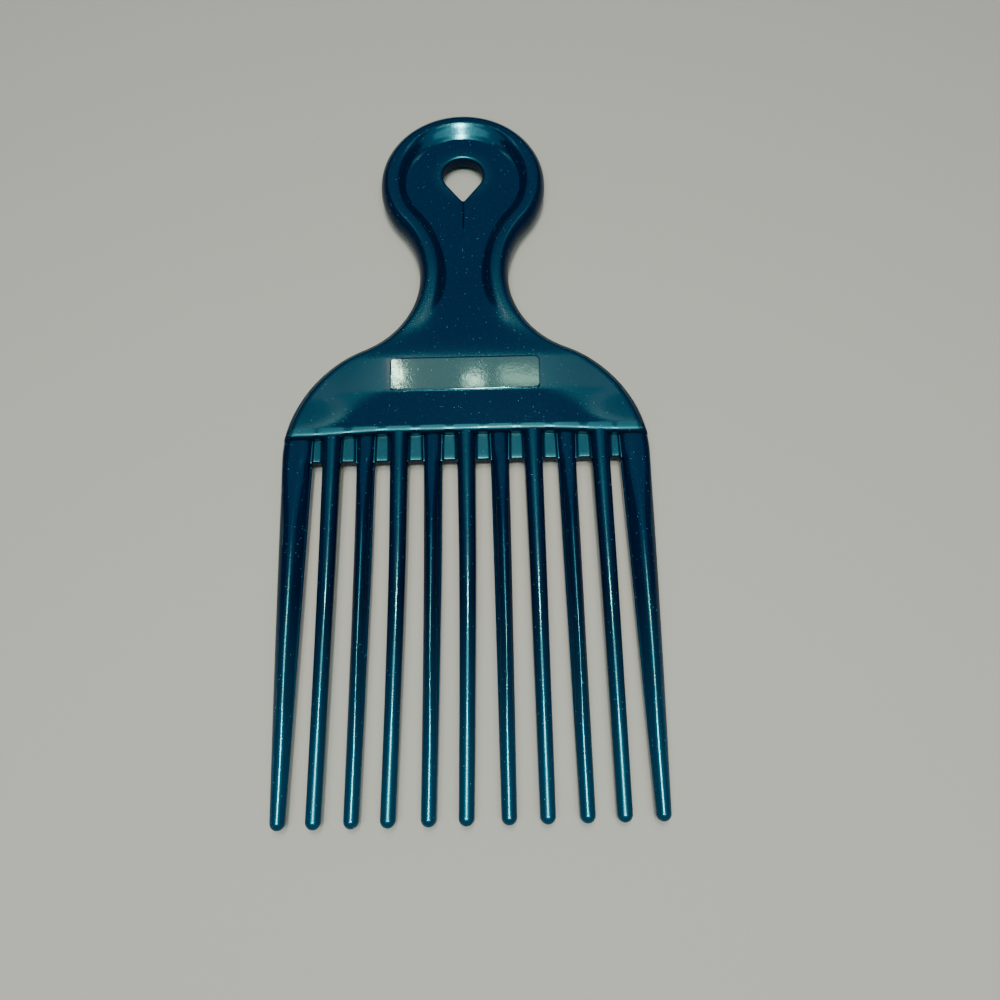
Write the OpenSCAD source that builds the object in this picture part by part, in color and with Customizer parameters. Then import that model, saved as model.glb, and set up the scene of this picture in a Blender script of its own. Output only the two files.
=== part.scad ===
// A wide-toothed lifting comb, moulded in one shot: a round handle with a thick bead
// round a thin floor, a thick shoulder with a raised pad, and eleven long teeth that
// thin webs tie together at their roots. The teeth stand alternately deep on the front
// and deep on the back of the mid-plane.
// The comb lies on its back: +Y runs from the tips to the handle, +Z is up, and the
// origin is under the middle of the comb. Its outline is made of arcs that run into
// each other, and places along the comb are heights above the tips.

/* [Teeth] */
// Length of the teeth, from the tips to the tooth line
tooth_l = 79.2; // [60:0.2:100]
// Width of an inner tooth at the foot of its webs
tooth_w = 3.9; // [3:0.1:4.4]
// How much wider a tooth is at the tooth line than at the foot of its webs
tooth_flare = 0.4; // [0:0.1:0.8]
// Width of an outer tooth at the foot of its web
outer_tooth_w = 6.4; // [5:0.1:7.4]
// Gap between an outer tooth and its neighbour at the foot of the web
outer_gap = 2.2; // [1.6:0.1:3]
// Diameter of a tooth just above its round tip
tip_d = 2.9; // [2:0.1:3]
// How far the outside of an outer tooth leans in between shoulder and tip
outer_lean = 1.7; // [0:0.1:3]
// How far the crest of a tooth's deep half lies below the shoulder at the tooth line
crest_drop = 0.1; // [0:0.1:1]
// Height of a tooth's shallow half past its root
shallow_h = 1.9; // [1.6:0.1:2.2]
// How much higher the shallow half is at the tooth line
shallow_rise = 0.6; // [0:0.1:0.8]
// Length of that rise below the tooth line
shallow_run = 8; // [4:0.5:16]
// Stretch above the tips on which the shallow half is no higher than the tip
shallow_start = 8; // [4:0.5:16]
// Length over which the shallow half then gains its height
shallow_gain = 54; // [40:1:60]

/* [Webs] */
// Length of a web below the tooth line
web_l = 6; // [4:0.2:12]
// Thickness of a web
web_t = 2.2; // [1.4:0.1:2.8]
// Fillet where a web's edge runs into a tooth
web_fillet = 0.6; // [0.3:0.1:0.7]

/* [Shoulder] */
// Width across the shoulders
shoulder_w = 77.4; // [72:0.2:90]
// Radius of the shoulders
shoulder_r = 27.2; // [22:0.2:30]
// How far the widest place lies below the tooth line
shoulder_drop = 4.8; // [3:0.1:8]
// Thickness at the tooth line
lip_t = 6.8; // [6:0.1:8]
// Thickness near the outside of the shoulders
wing_t = 5.6; // [4:0.1:7]
// Thickness of the raised middle, without its pads
middle_t = 8; // [7:0.1:10]
// Run of the round along the outside edge
edge_run = 2.4; // [1.2:0.1:3]

/* [Pads] */
// Width of the flat pad in the middle of the shoulder
pad_w = 32; // [24:0.2:34]
// Height of the pad along the comb
pad_l = 7.8; // [5:0.1:9]
// How far the lower edge of the pad lies above the tooth line
pad_rise = 8.8; // [7:0.1:10]
// How far a pad stands out of the shoulder
pad_t = 0.3; // [0.2:0.1:0.8]
// Corner radius of a pad
pad_corner = 1; // [0.4:0.1:2]

/* [Handle] */
// Width of the neck at its narrowest place
neck_w = 20; // [17:0.2:24]
// Radius of the hollows beside the neck
neck_r = 20.7; // [16:0.1:24]
// Diameter of the round end
bulb_d = 38.4; // [34:0.2:44]
// Straight stretch between the lower and the upper round of the handle
bulb_straight = 0.4; // [0:0.1:4]
// Thickness over the bead round the handle
rim_t = 6.8; // [5.6:0.1:8]
// Width of the bead and its inner slope
rim_w = 6.8; // [5.6:0.1:7.6]
// Width of the inner slope of the bead
slope_w = 3.5; // [1.6:0.1:4]
// Thickness of the floor inside the bead
floor_t = 3.2; // [2.4:0.1:4]
// Width of the hanging hole
hole_w = 9.4; // [7:0.1:12]
// How far the point of the hole lies below the centre of its round
hole_point = 7.5; // [6.6:0.1:8]
// How far the centre of the hole's round lies above the centre of the lower round
hole_rise = 2.5; // [1:0.1:5]

/* [Hidden] */

// Colours, as the moulding shows them
plastic = [0.02, 0.32, 0.40];
web_plastic = [0.06, 0.40, 0.44];
pad_plastic = [0.30, 0.48, 0.46];

tooth_count = 11;
middle_tooth = (tooth_count + 1) / 2;
tip_r = tip_d / 2;

// The inner teeth spread a little towards their tips, by this share of their places
fan_share = 1.02;
// Share of an outer tooth's lean that is straight; the rest is a bow
lean_share = 0.7;
// Flat share of a tooth's flank at its tip
flank_share = 0.15;

// Places along the comb, above the tips
foot_y = tooth_l - web_l - web_fillet;
shoulder_y = tooth_l - shoulder_drop;
pad_y = tooth_l + pad_rise;
crease_y = pad_y + pad_l;

// Centres of the arcs that make the outline, each touching the next
shoulder_x = shoulder_w / 2 - shoulder_r;
neck_x = neck_w / 2 + neck_r;
bulb_r = bulb_d / 2;
neck_y = shoulder_y + sqrt(pow(shoulder_r + neck_r, 2) - pow(neck_x - shoulder_x, 2));
bulb_y = neck_y + sqrt(pow(bulb_r + neck_r, 2) - pow(neck_x, 2));
crown_y = bulb_y + bulb_straight;
comb_l = crown_y + bulb_r;

// Where the arcs meet
shoulder_end_y = shoulder_y + (neck_y - shoulder_y) * shoulder_r / (shoulder_r + neck_r);
neck_end_angle = atan2(bulb_y - neck_y, neck_x);

// The round of the handle's floor, inside the bead
floor_r = bulb_r - rim_w;

// Half thicknesses, from the mid-plane
lip_h = lip_t / 2;
deep_h = lip_h - crest_drop;
wing_h = wing_t / 2;
middle_h = middle_t / 2;
rim_h = rim_t / 2;
floor_h = floor_t / 2;
web_h = web_t / 2;

// The middle of the shoulder is level to this far outside the pad, then falls slowly over
// this width towards the wings
middle_margin = 0.4;
crown_run = 21.6;
// Where the sides of the hole's point start, as shares of the hole's half width
hole_side_shares = [0.76, 0.62];
// Length over which the bead turns into the edge of the shoulder
bead_run = 22;
// How far below the handle the neck starts to take the shoulder's form
neck_stay = 4;
// Below the bead the neck climbs from its edge over this width; near the pad, over this
// height, the climb gives way to the level middle
neck_climb = 8;
climb_fade = 12;
// How much of a slope's ends is rounded, as a share of a full round
slope_round_share = 0.35;
// Length of the small slope that ends the shoulder at the tooth line
lip_run = 0.8;
// How much of the rounded edge, as a share of its run, a row's outer columns cover
edge_band_share = 1.5;

// Steps of the curved forms
arc_steps = 10;
section_steps = 12;
section_crowding = 1.4;
row_steps = 6;
column_steps = 8;
shank_steps = 8;
root_steps = 4;
half_steps = 7;
tip_angles = [78, 60, 40, 20];
fillet_angles = [0, 30, 60, 90];

function mix(a, b, t) = a + (b - a) * t;
function limit(t) = min(max(t, 0), 1);
function ease(t) = let (c = limit(t)) c * c * (3 - 2 * c);
// A slope that is straight in its middle and rounded at both ends
function soft_ramp(t) = let (c = limit(t)) c - slope_round_share * sin(360 * c) / (2 * PI);

// Half width of the body at a height above the tips, up to the neck
function body_half_w(y) =
    y < shoulder_end_y
        ? shoulder_x + sqrt(pow(shoulder_r, 2) - pow(y - shoulder_y, 2))
        : neck_x - sqrt(pow(neck_r, 2) - pow(y - neck_y, 2));

// Distance of a point from the nearest edge of the body, below the neck
function edge_distance(x, y) =
    let (side = (abs(x) - shoulder_x) * (neck_y - shoulder_y)
            - (y - shoulder_y) * (neck_x - shoulder_x))
    side > 0
        ? shoulder_r - norm([abs(x) - shoulder_x, y - shoulder_y])
        : norm([abs(x) - neck_x, y - neck_y]) - neck_r;

// Rise of a rounded edge: a quarter of an ellipse, then level
function edge_round(d) = sqrt(1 - pow(1 - limit(d / edge_run), 2));

// Height of the middle of the body: a ramp from the neck's floor up to the pad, level
// under the pad, then a gentle fall to the tooth line
function middle_height(y) =
    y > crease_y ? mix(middle_h, floor_h, ease((y - crease_y) / (neck_y - crease_y)))
    : y > pad_y ? middle_h
    : mix(middle_h, lip_h, (pad_y - y) / pad_rise);

// Height of the body over the mid-plane: the bead of the neck turns into the wing's edge,
// the wings climb slowly inwards, and the middle stands over them
function body_height(x, y) =
    let (
        d = edge_distance(x, y),
        edge_h = mix(rim_h, wing_h, ease((neck_y - y) / bead_run)),
        lip_gain = mix(0, lip_h - wing_h, ease((pad_y - y) / pad_rise)),
        neck_part = mix(edge_h, middle_height(y), soft_ramp((d - rim_w + slope_w) / slope_w)),
        reach = (pad_w / 2 + middle_margin + crown_run - abs(x)) / crown_run,
        climb = mix(1, ease((d - edge_run) / neck_climb), ease((y - crease_y) / climb_fade)),
        middle_part = mix(edge_h + lip_gain, middle_height(y), ease(reach) * climb),
        blend = ease((neck_y - neck_stay - y) / (neck_y - neck_stay - crease_y)),
        lip_cut = crest_drop * limit((tooth_l + lip_run - y) / lip_run)
    )
    (mix(neck_part, middle_part, blend) - lip_cut) * edge_round(d);

// A closed solid from rings of points, each ring in one plane and of the same length
module loft(rings) {
    count = len(rings[0]);
    last = len(rings) - 1;
    points = [for (ring = rings) for (p = ring) p];
    sides = [
        for (r = [0 : last - 1]) for (k = [0 : count - 1])
            let (a = r * count + k, b = r * count + (k + 1) % count)
            each [[a, b, b + count], [a, b + count, a + count]]
    ];
    first_cap = [for (k = [count - 1 : -1 : 0]) k];
    last_cap = [for (k = [0 : count - 1]) last * count + k];
    polyhedron(points, concat(sides, [first_cap, last_cap]), convexity = 4);
}

// Puts a form drawn round the mid-plane, with its tips at zero, into the comb's frame
module lay() {
    translate([0, -comb_l / 2, middle_h + pad_t]) children();
}

// Place across the comb of a tooth's root and of its tip
first_inner_x = shoulder_w / 2 - outer_tooth_w - outer_gap - tooth_w / 2;
pitch = first_inner_x / (middle_tooth - 2);
function inner_x(i, y) =
    (i - middle_tooth) * pitch * mix(fan_share, 1, limit(y / foot_y));

// Half width of an inner tooth: from the tip's round to the foot, then the flare
function inner_half_w(y) =
    y < foot_y
        ? mix(tip_r, tooth_w / 2, (y - tip_r) / (foot_y - tip_r))
        : mix(tooth_w, tooth_w + tooth_flare, (y - foot_y) / (tooth_l - foot_y)) / 2;

// Outer and inner flank of an outer tooth, as distances from the comb's middle
function lean_at(t) = outer_lean * (lean_share * t + (1 - lean_share) * t * t);
function outer_flank(y) =
    y > shoulder_y ? body_half_w(y)
    : shoulder_w / 2 - lean_at((shoulder_y - y) / (shoulder_y - tip_r));
function inner_flank(y) =
    let (foot_x = shoulder_w / 2 - outer_tooth_w)
    y < foot_y
        ? mix(outer_flank(tip_r) - tip_d, foot_x, (y - tip_r) / (foot_y - tip_r))
        : foot_x - mix(0, tooth_flare / 2, (y - foot_y) / (tooth_l - foot_y));

function is_outer(i) = i == 1 || i == tooth_count;
function side_of(i) = i < middle_tooth ? -1 : 1;

// The two flanks of tooth i at a height: left and right
function flanks(i, y) =
    is_outer(i)
        ? (side_of(i) < 0 ? [-outer_flank(y), -inner_flank(y)]
                          : [inner_flank(y), outer_flank(y)])
        : [inner_x(i, y) - inner_half_w(y), inner_x(i, y) + inner_half_w(y)];

// Heights of a tooth's two halves: the deep one tapers evenly, the shallow one rises
// slowly along the shank, and a little more at its root
function deep_at(y) = mix(tip_r, deep_h, (y - tip_r) / (tooth_l - tip_r));
function shallow_at(y) =
    mix(tip_r, shallow_h, ease((y - shallow_start) / shallow_gain))
        + shallow_rise * limit((y - tooth_l + shallow_run) / shallow_run);

// Half height of the upright part of a flank: the web's at the root, less at the tip
function flank_at(y) =
    y >= foot_y ? web_h : mix(flank_share * tip_r, web_h, (y - tip_r) / (foot_y - tip_r));

// One ring of a tooth: upright flanks joined by half an ellipse above and one below.
// Grow shrinks the whole section about its middle, for the round tip.
function tooth_ring(i, y, at, grow) =
    let (
        x = flanks(i, at),
        mid = (x[0] + x[1]) / 2,
        half = (x[1] - x[0]) / 2 * grow,
        deep = deep_at(at) * grow,
        shallow = shallow_at(at) * grow,
        up = i % 2 == 0 ? deep : shallow,
        down = i % 2 == 0 ? shallow : deep,
        flat_h = flank_at(at) * grow,
        turns = [for (k = [0 : half_steps]) 180 * k / half_steps]
    )
    concat(
        [for (a = turns) [mid + half * cos(a), y, flat_h + (up - flat_h) * sin(a)]],
        [for (a = turns) [mid - half * cos(a), y, -flat_h - (down - flat_h) * sin(a)]]
    );

// Tooth i, from its round tip to the tooth line
module tooth(i) {
    tip_rings = [
        for (a = tip_angles)
            tooth_ring(i, tip_r * (1 - sin(a) / sin(tip_angles[0])), tip_r, cos(a))
    ];
    shank_rings = [
        for (k = [0 : shank_steps])
            let (y = mix(tip_r, foot_y, k / shank_steps)) tooth_ring(i, y, y, 1)
    ];
    root_rings = [
        for (k = [1 : root_steps])
            let (y = mix(foot_y, tooth_l, k / root_steps)) tooth_ring(i, y, y, 1)
    ];
    color(plastic) lay() loft(concat(tip_rings, shank_rings, root_rings));
}

// Web i, between tooth i and the next: its edge is filleted into both teeth
module web(i) {
    foot_l = flanks(i, foot_y)[1];
    foot_r = flanks(i + 1, foot_y)[0];
    left_fillet = [
        for (a = fillet_angles)
            [foot_l + web_fillet * (1 - cos(a)), foot_y + web_fillet * sin(a)]
    ];
    right_fillet = [
        for (a = fillet_angles)
            [foot_r - web_fillet * (1 - sin(a)), foot_y + web_fillet * cos(a)]
    ];
    top = [[flanks(i + 1, tooth_l)[0], tooth_l], [flanks(i, tooth_l)[1], tooth_l]];
    color(web_plastic) lay() translate([0, 0, -web_h])
        linear_extrude(web_t) polygon(concat(left_fillet, right_fillet, top));
}

// The body is drawn in rows, from the tooth line to the handle. Each row has an even band
// of columns over the pad, and columns that crowd together towards the rounded edge.
function row_x(y) =
    let (
        w = body_half_w(y),
        band = min(pad_w / 2 + middle_margin, w - edge_band_share * edge_run),
        half = concat(
            [for (k = [0 : column_steps - 1]) band * k / column_steps],
            [for (k = [0 : column_steps]) band + (w - band) * sin(90 * k / column_steps)]
        ),
        n = len(half)
    )
    concat([for (k = [n - 1 : -1 : 1]) -half[k]], half);

function body_ring(y) =
    let (xs = row_x(y), n = len(xs))
    concat(
        [for (k = [n - 1 : -1 : 0]) [xs[k], y, k % (n - 1) == 0 ? 0 : body_height(xs[k], y)]],
        [for (k = [1 : n - 2]) [xs[k], y, -body_height(xs[k], y)]]
    );

// Rows between the stops, each stretch in its own number of steps
function body_rows(stops, steps) =
    concat(
        [for (s = [0 : len(steps) - 1]) for (k = [0 : steps[s] - 1])
            mix(stops[s], stops[s + 1], k / steps[s])],
        [stops[len(stops) - 1]]
    );

module shoulder() {
    rows = body_rows([tooth_l, tooth_l + lip_run, pad_y, crease_y], [1, row_steps, row_steps / 2]);
    color(plastic) lay() loft([for (y = rows) body_ring(y)]);
}

// The neck, from the upper edge of the pad to the handle
module neck() {
    color(plastic) lay() loft([for (y = body_rows([crease_y, neck_y], [2 * row_steps])) body_ring(y)]);
}

// A pad: a thin slab with rounded corners, standing on the flat of the shoulder
module pad(side) {
    long = pad_w - 2 * pad_corner;
    short = pad_l - 2 * pad_corner;
    color(pad_plastic) lay()
        translate([0, pad_y + pad_l / 2, side > 0 ? middle_h : -middle_h - pad_t])
        linear_extrude(pad_t) union() {
            square([long, pad_l], center = true);
            square([pad_w, short], center = true);
            for (x = [-long / 2, long / 2], y = [-short / 2, short / 2])
                translate([x, y]) circle(r = pad_corner, $fn = 32);
        }
}

// Stations of the right half of the handle, from the neck to the crown: each pairs a
// point of the outside with the point of the floor's edge that faces it
function half_stations() =
    let (
        neck_angles = [for (k = [0 : arc_steps - 1]) neck_end_angle * k / arc_steps],
        low_angles = [for (k = [0 : arc_steps]) -neck_end_angle * (1 - k / arc_steps)],
        high_angles = [for (k = [0 : arc_steps]) 90 * k / arc_steps]
    )
    concat(
        [for (a = neck_angles) [
            [neck_x - neck_r * cos(a), neck_y + neck_r * sin(a)],
            [neck_x - (neck_r + rim_w) * cos(a), neck_y + (neck_r + rim_w) * sin(a)]
        ]],
        [for (a = low_angles) [
            [bulb_r * cos(a), bulb_y + bulb_r * sin(a)],
            [floor_r * cos(a), bulb_y + floor_r * sin(a)]
        ]],
        [for (a = high_angles) [
            [bulb_r * cos(a), crown_y + bulb_r * sin(a)],
            [floor_r * cos(a), crown_y + floor_r * sin(a)]
        ]]
    );

function flip(p) = [-p[0], p[1]];
function stations() =
    let (half = half_stations(), n = len(half))
    concat(half, [for (k = [n - 2 : -1 : 0]) [flip(half[k][0]), flip(half[k][1])]]);

// Height of the bead: a rounded outside, a level crest and a slope down to the floor
function rim_height(d, width) =
    mix(rim_h, floor_h, soft_ramp((d - width + slope_w) / slope_w)) * edge_round(d);

// One ring of the bead, across a station: over the top, then back below
function rim_ring(outer, inner) =
    let (
        width = norm(inner - outer),
        shares = [for (k = [0 : section_steps]) pow(k / section_steps, section_crowding)],
        top = [
            for (s = shares) concat(mix(outer, inner, s), [rim_height(s * width, width)])
        ]
    )
    concat(top, [for (k = [section_steps : -1 : 1]) [top[k][0], top[k][1], -top[k][2]]]);

module handle_rim() {
    color(plastic) lay() loft([for (s = stations()) rim_ring(s[0], s[1])]);
}

// The hanging hole: a round with a point that aims at the teeth. The point's two sides
// start just inside the round.
module hole_shape() {
    side_x = hole_side_shares[0] * hole_w / 2;
    side_y = hole_side_shares[1] * hole_w / 2;
    circle(d = hole_w, $fn = 64);
    polygon([[0, 0], [-side_x, -side_y], [0, -hole_point], [side_x, -side_y]]);
}

// The floor inside the bead, which carries the hanging hole
module handle_floor() {
    color(plastic) lay() translate([0, 0, -floor_h]) linear_extrude(floor_t) difference() {
        polygon([for (s = stations()) s[1]]);
        translate([0, bulb_y + hole_rise]) hole_shape();
    }
}

handle_rim();
handle_floor();
neck();
shoulder();
pad(1);  // pad_front
pad(-1);  // pad_back
web(1);  // web_01
web(2);  // web_02
web(3);  // web_03
web(4);  // web_04
web(5);  // web_05
web(6);  // web_06
web(7);  // web_07
web(8);  // web_08
web(9);  // web_09
web(10);  // web_10
tooth(1);  // tooth_01
tooth(2);  // tooth_02
tooth(3);  // tooth_03
tooth(4);  // tooth_04
tooth(5);  // tooth_05
tooth(6);  // tooth_06
tooth(7);  // tooth_07
tooth(8);  // tooth_08
tooth(9);  // tooth_09
tooth(10);  // tooth_10
tooth(11);  // tooth_11
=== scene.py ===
"""Looks of a wide-toothed lifting comb in pearly teal plastic.

Every form is worked out in the comb's own measures, in millimetres: x across the comb,
q along it above the tooth tips, and z above the mid-plane of its thickness. place() turns
them into the frame's metres.
"""
import math

import bpy
import numpy as np
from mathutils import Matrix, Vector


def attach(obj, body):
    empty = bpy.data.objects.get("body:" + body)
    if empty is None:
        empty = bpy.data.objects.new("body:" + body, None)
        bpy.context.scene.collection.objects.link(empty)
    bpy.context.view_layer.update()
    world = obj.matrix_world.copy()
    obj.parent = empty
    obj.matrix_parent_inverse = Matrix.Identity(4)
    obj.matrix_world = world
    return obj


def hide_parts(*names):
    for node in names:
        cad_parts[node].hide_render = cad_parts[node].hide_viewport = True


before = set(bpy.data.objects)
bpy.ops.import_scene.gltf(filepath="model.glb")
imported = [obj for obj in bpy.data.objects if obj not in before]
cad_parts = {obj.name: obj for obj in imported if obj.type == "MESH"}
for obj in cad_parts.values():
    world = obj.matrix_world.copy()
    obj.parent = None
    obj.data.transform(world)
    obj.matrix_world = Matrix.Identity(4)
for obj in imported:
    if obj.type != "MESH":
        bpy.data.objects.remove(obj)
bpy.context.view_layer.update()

# Sizes in millimetres, as in the CAD model. Heights count from the mid-plane.
TOOTH_L = 79.2
TOOTH_W = 3.9
FLARE = 0.4
OUTER_W = 6.4
OUTER_GAP = 2.2
TIP_R = 1.45
OUTER_LEAN = 1.7
LEAN_SHARE = 0.7
FAN_SHARE = 1.02
CREST_DROP = 0.1
SHALLOW_H = 1.9
SHALLOW_RUN = 8.0
WEB_L = 6.0
WEB_H = 1.1
WEB_FILLET = 0.6
SHOULDER_W = 77.4
SHOULDER_R = 27.2
SHOULDER_DROP = 4.8
LIP_H = 3.4
WING_H = 2.8
MIDDLE_H = 4.0
EDGE_RUN = 2.4
MIDDLE_MARGIN = 0.4
CROWN_RUN = 21.6
NECK_CLIMB = 8.0
CLIMB_FADE = 12.0
NECK_STAY = 4.0
PAD_W = 32.0
PAD_L = 7.8
PAD_RISE = 8.8
PAD_T = 0.3
PAD_CORNER = 1.0
NECK_W = 20.0
NECK_R = 20.7
BULB_R = 19.2
BULB_STRAIGHT = 0.4
RIM_H = 3.4
RIM_W = 6.8
SLOPE_W = 3.5
FLOOR_H = 1.6
HOLE_R = 4.7
HOLE_RISE = 2.5

# Places and arcs that follow from them
WEB_FOOT = TOOTH_L - WEB_L
FOOT_Q = WEB_FOOT - WEB_FILLET
SHOULDER_Q = TOOTH_L - SHOULDER_DROP
PAD_Q = TOOTH_L + PAD_RISE
CREASE_Q = PAD_Q + PAD_L
SHOULDER_X = SHOULDER_W / 2 - SHOULDER_R
NECK_X = NECK_W / 2 + NECK_R
NECK_Q = SHOULDER_Q + math.sqrt((SHOULDER_R + NECK_R) ** 2 - (NECK_X - SHOULDER_X) ** 2)
BULB_Q = NECK_Q + math.sqrt((BULB_R + NECK_R) ** 2 - NECK_X ** 2)
CROWN_Q = BULB_Q + BULB_STRAIGHT
COMB_L = CROWN_Q + BULB_R
SHOULDER_END_Q = SHOULDER_Q + (NECK_Q - SHOULDER_Q) * SHOULDER_R / (SHOULDER_R + NECK_R)
NECK_END = math.atan2(BULB_Q - NECK_Q, NECK_X)
FLOOR_R = BULB_R - RIM_W
HOLE_Q = BULB_Q + HOLE_RISE
MID_Z = MIDDLE_H + PAD_T
MIDDLE_X = PAD_W / 2 + MIDDLE_MARGIN + CROWN_RUN
TEETH = 11
MIDDLE_TOOTH = 6
FIRST_X = SHOULDER_W / 2 - OUTER_W - OUTER_GAP - TOOTH_W / 2
PITCH = FIRST_X / (MIDDLE_TOOTH - 2)

# The rest of the sizes, in millimetres, are this model's own. Teeth: how far each tip
# stands off its regular place, as the photograph shows them, and where the bend starts
TIP_LEANS = [-0.07, -0.37, -0.58, -1.0, -0.66, -0.86, -0.15, -0.19, -0.01, -0.35, -0.03]
BEND_Q = 55.0
BEND_POWER = 1.4

# Teeth: heights of the shallow half, by height above the tip, and its rise at the root
SHALLOW_STOPS = [0, 8, 14, 24, 28, 40, 62, 80]
SHALLOW_HEIGHTS = [TIP_R, TIP_R, 1.50, 1.72, 1.62, 1.74, SHALLOW_H, SHALLOW_H]
SHALLOW_RISE = 0.2

# Teeth: powers of the section's curves at the root, and the shares of the tooth's length
# over which they are reached; the shallow half loses its ridge over ROOT_RUN
FLAT_POWER = 0.74
FLAT_SHARE = 0.9
RIDGE_POWER = 1.7
RIDGE_SHARE = 0.3
ROOT_Q = 58.0
ROOT_RUN = 14.0

# Teeth: the ledge beside the shallow half, from where to where it widens, and its end
# just above the web's foot. Its points run from the flank inwards, as shares of its
# width and of its height, with the fine raised edge of the parting line at the inner end.
LEDGE_THIN = 0.04
LEDGE_GAIN = 0.58
LEDGE_Q = 14.0
LEDGE_RUN = 22.0
LEDGE_PAST = 1.5
LEDGE_END_RUN = 3.0
LEDGE_RISE_SHARE = 0.5
LEDGE_IN = np.array([0.02, 0.12, 0.35, 0.66, 0.84, 0.95])
LEDGE_UP = np.array([0.35, 0.68, 0.86, 0.98, 1.3, 1.22])

# Teeth: points of a half section, rings of the tip with their first and last angle in
# degrees, and rings of the shank below and above the height where they close up
HALF_POINTS = 27
TIP_RINGS = 12
TIP_ANGLES = (84, 6)
SHANK_Q = 56.0
SHANK_RINGS = 60
ROOT_RINGS = 50
ROOT_SINK = 1.3

# Shoulder: from how far outside, and over what run, the bead's height falls to the
# wing's; the lip's round, how far below the tooth line it starts, and how much lower
# its ends are, from how far outside and over what run
FALL_X = 12.0
FALL_RUN = 16.0
LIP_R = 0.9
LIP_DROP = 0.45
LIP_BOW = 0.8
BOW_X = 15.0
BOW_RUN = 19.0

# Shoulder and neck: heights on the wall over the webs as shares of it, width of the
# close columns at the outside edge, and columns and rows of the grids
WALL_SHARES = (0.12, 0.5, 0.8)
EDGE_BAND = 3.2
EDGE_COLUMNS = 16
TOOTH_COLUMNS = 10
GAP_COLUMNS = 13
LIP_ROWS = 9
SLOPE_ROWS = 27
PAD_ROWS = 14
NECK_COLUMNS = 141
NECK_ROWS = 64

# Handle: steps of its arcs and of the bead's section, how round the bead's slope is at
# the sides and at the top, and over which turn, in radians, that changes
NECK_STEPS = 56
LOW_STEPS = 50
HIGH_STEPS = 81
BEAD_POINTS = 41
BEAD_CROWDING = 1.4
SIDE_ROUND_SHARE = 0.75
TOP_ROUND_SHARE = 0.15
ROUND_TURN = 0.25
ROUND_TURN_RUN = 0.95

# Hole: how far below its round's centre the two straight sides would meet, the small
# rounds of that point and of the edges, and the height of a ring on the wall. Floor: the
# steps of its grid, and the first angle of the edge's round, in degrees.
HOLE_POINT = 7.8
POINT_R = 0.55
HOLE_EDGE_R = 0.7
HOLE_WALL_H = 0.5
FLOOR_COLUMNS = 24
FLOOR_ROWS = 12
FLOOR_CROWDING = 0.7
HOLE_ROWS = 8
HOLE_FIRST_ANGLE = 10

# Webs: how far they reach into the teeth, the rise where they meet teeth and wall, and
# the rounds of the foot. WEB_STEPS and WEB_FACE_TOP are places below the tooth line, and
# WEB_FACE_END is one above the foot.
WEB_SINK = 0.25
WEB_RISE = 0.3
RISE_W = 0.45
RISE_L = 0.5
WEB_CORNER = 0.5
WEB_EDGE_R = 0.22
WEB_WALL_H = 0.3
WEB_STEPS = [-0.6, 0, 0.1, 0.22, 0.36, 0.5]
WEB_FACE_TOP = 0.8
WEB_FACE_END = 1.2
WEB_ROWS = 7
WEB_COLUMNS = 25
WEB_EDGE_ROWS = 6

# Pads: rings, as how far in from the edge and how high over the shoulder they lie
PAD_RINGS = [(0, -0.1), (0, 0.24), (0.01, 0.28), (0.04, PAD_T), (0.3, PAD_T), (0.9, PAD_T),
             (1.9, PAD_T), (2.7, PAD_T), (3.4, PAD_T)]
PAD_SINK = 0.1
LEAST_CORNER = 0.12
CORNER_POINTS = 11

# Edges sharper than this angle, in degrees, stay sharp, and faces whose normal has less
# than this share upwards are flanks
SHARP = 50
STEEP_SHARE = 0.77

# Polish, from -1 for dull over 0 to 1 for a flat that mirrors. Bead: its crest beside
# the neck and round the handle, and where the one turns into the other; then the same
# for its top, which starts a little above the middle of the round
NECK_CREST_POLISH = 0.15
CREST_POLISH = 0.45
CREST_Q = 112.0
CREST_RUN = 12.0
TOP_POLISH = 0.7
TOP_RISE = 5.0
TOP_RUN = 9.0

# Polish of the neck: low down it comes in over a wider slope than the bead's, from
# NECK_SLOPE_Q up over the bead's own. The ramp below RAMP_Q has its own, but at the edge.
RAMP_SLOPE_W = 8.0
NECK_SLOPE_Q = 104.0
NECK_SLOPE_RUN = 10.0
RAMP_POLISH = 0.6
RAMP_EDGE = 1.0
RAMP_EDGE_RUN = 9.0
RAMP_Q = 99.0
RAMP_RUN = 6.0

# Polish of the slope below the pad: its border's distance from the middle at the pad, how
# much farther out that is for each millimetre lower, and where it fades at the border, at
# the pad and at the lip
SLOPE_X = 18.5
SLOPE_SPREAD = 1.8
SLOPE_MARGIN = 4.5
SLOPE_FADE = 9.0
PAD_FADE_START = 0.3
PAD_FADE = 0.8
LIP_FADE_START = 0.5
LIP_FADE = 0.6

# Polish of the lip over gaps and over teeth, and how far past a gap's ends it changes
GAP_LIP_POLISH = 0.3
TOOTH_LIP_POLISH = -1.0
GAP_SPILL = 0.3
GAP_FADE = 1.2

# Polish of the hole's edge; the floor is dull to a little past the hole's round, and
# fully polished from a little past its point on. What lies deeper is the hole's edge.
HOLE_POLISH = -0.4
DULL_PAST_ROUND = 0.5
DULL_PAST_POINT = 1.4
LEVEL_PLAY = 0.02

# Polish along a tooth: pairs of height above the tip and polish
EVEN_POLISH = [(0, 0.2), (16, 0.3), (21, 0.85), (36, 0.9), (54, 0.9), (60, 0.65), (66, 0.5),
               (72, 0.5)]
ODD_POLISH = [(0, 0.5), (16, 0.6), (24, 0.85), (36, 0.85), (45, 0.3), (56, 0.4), (62, 0.9)]
OUTER_POLISH = [(0, 0.6), (18, 0.6), (36, 0.5), (48, 0.7), (56, 0.9)]

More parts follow.
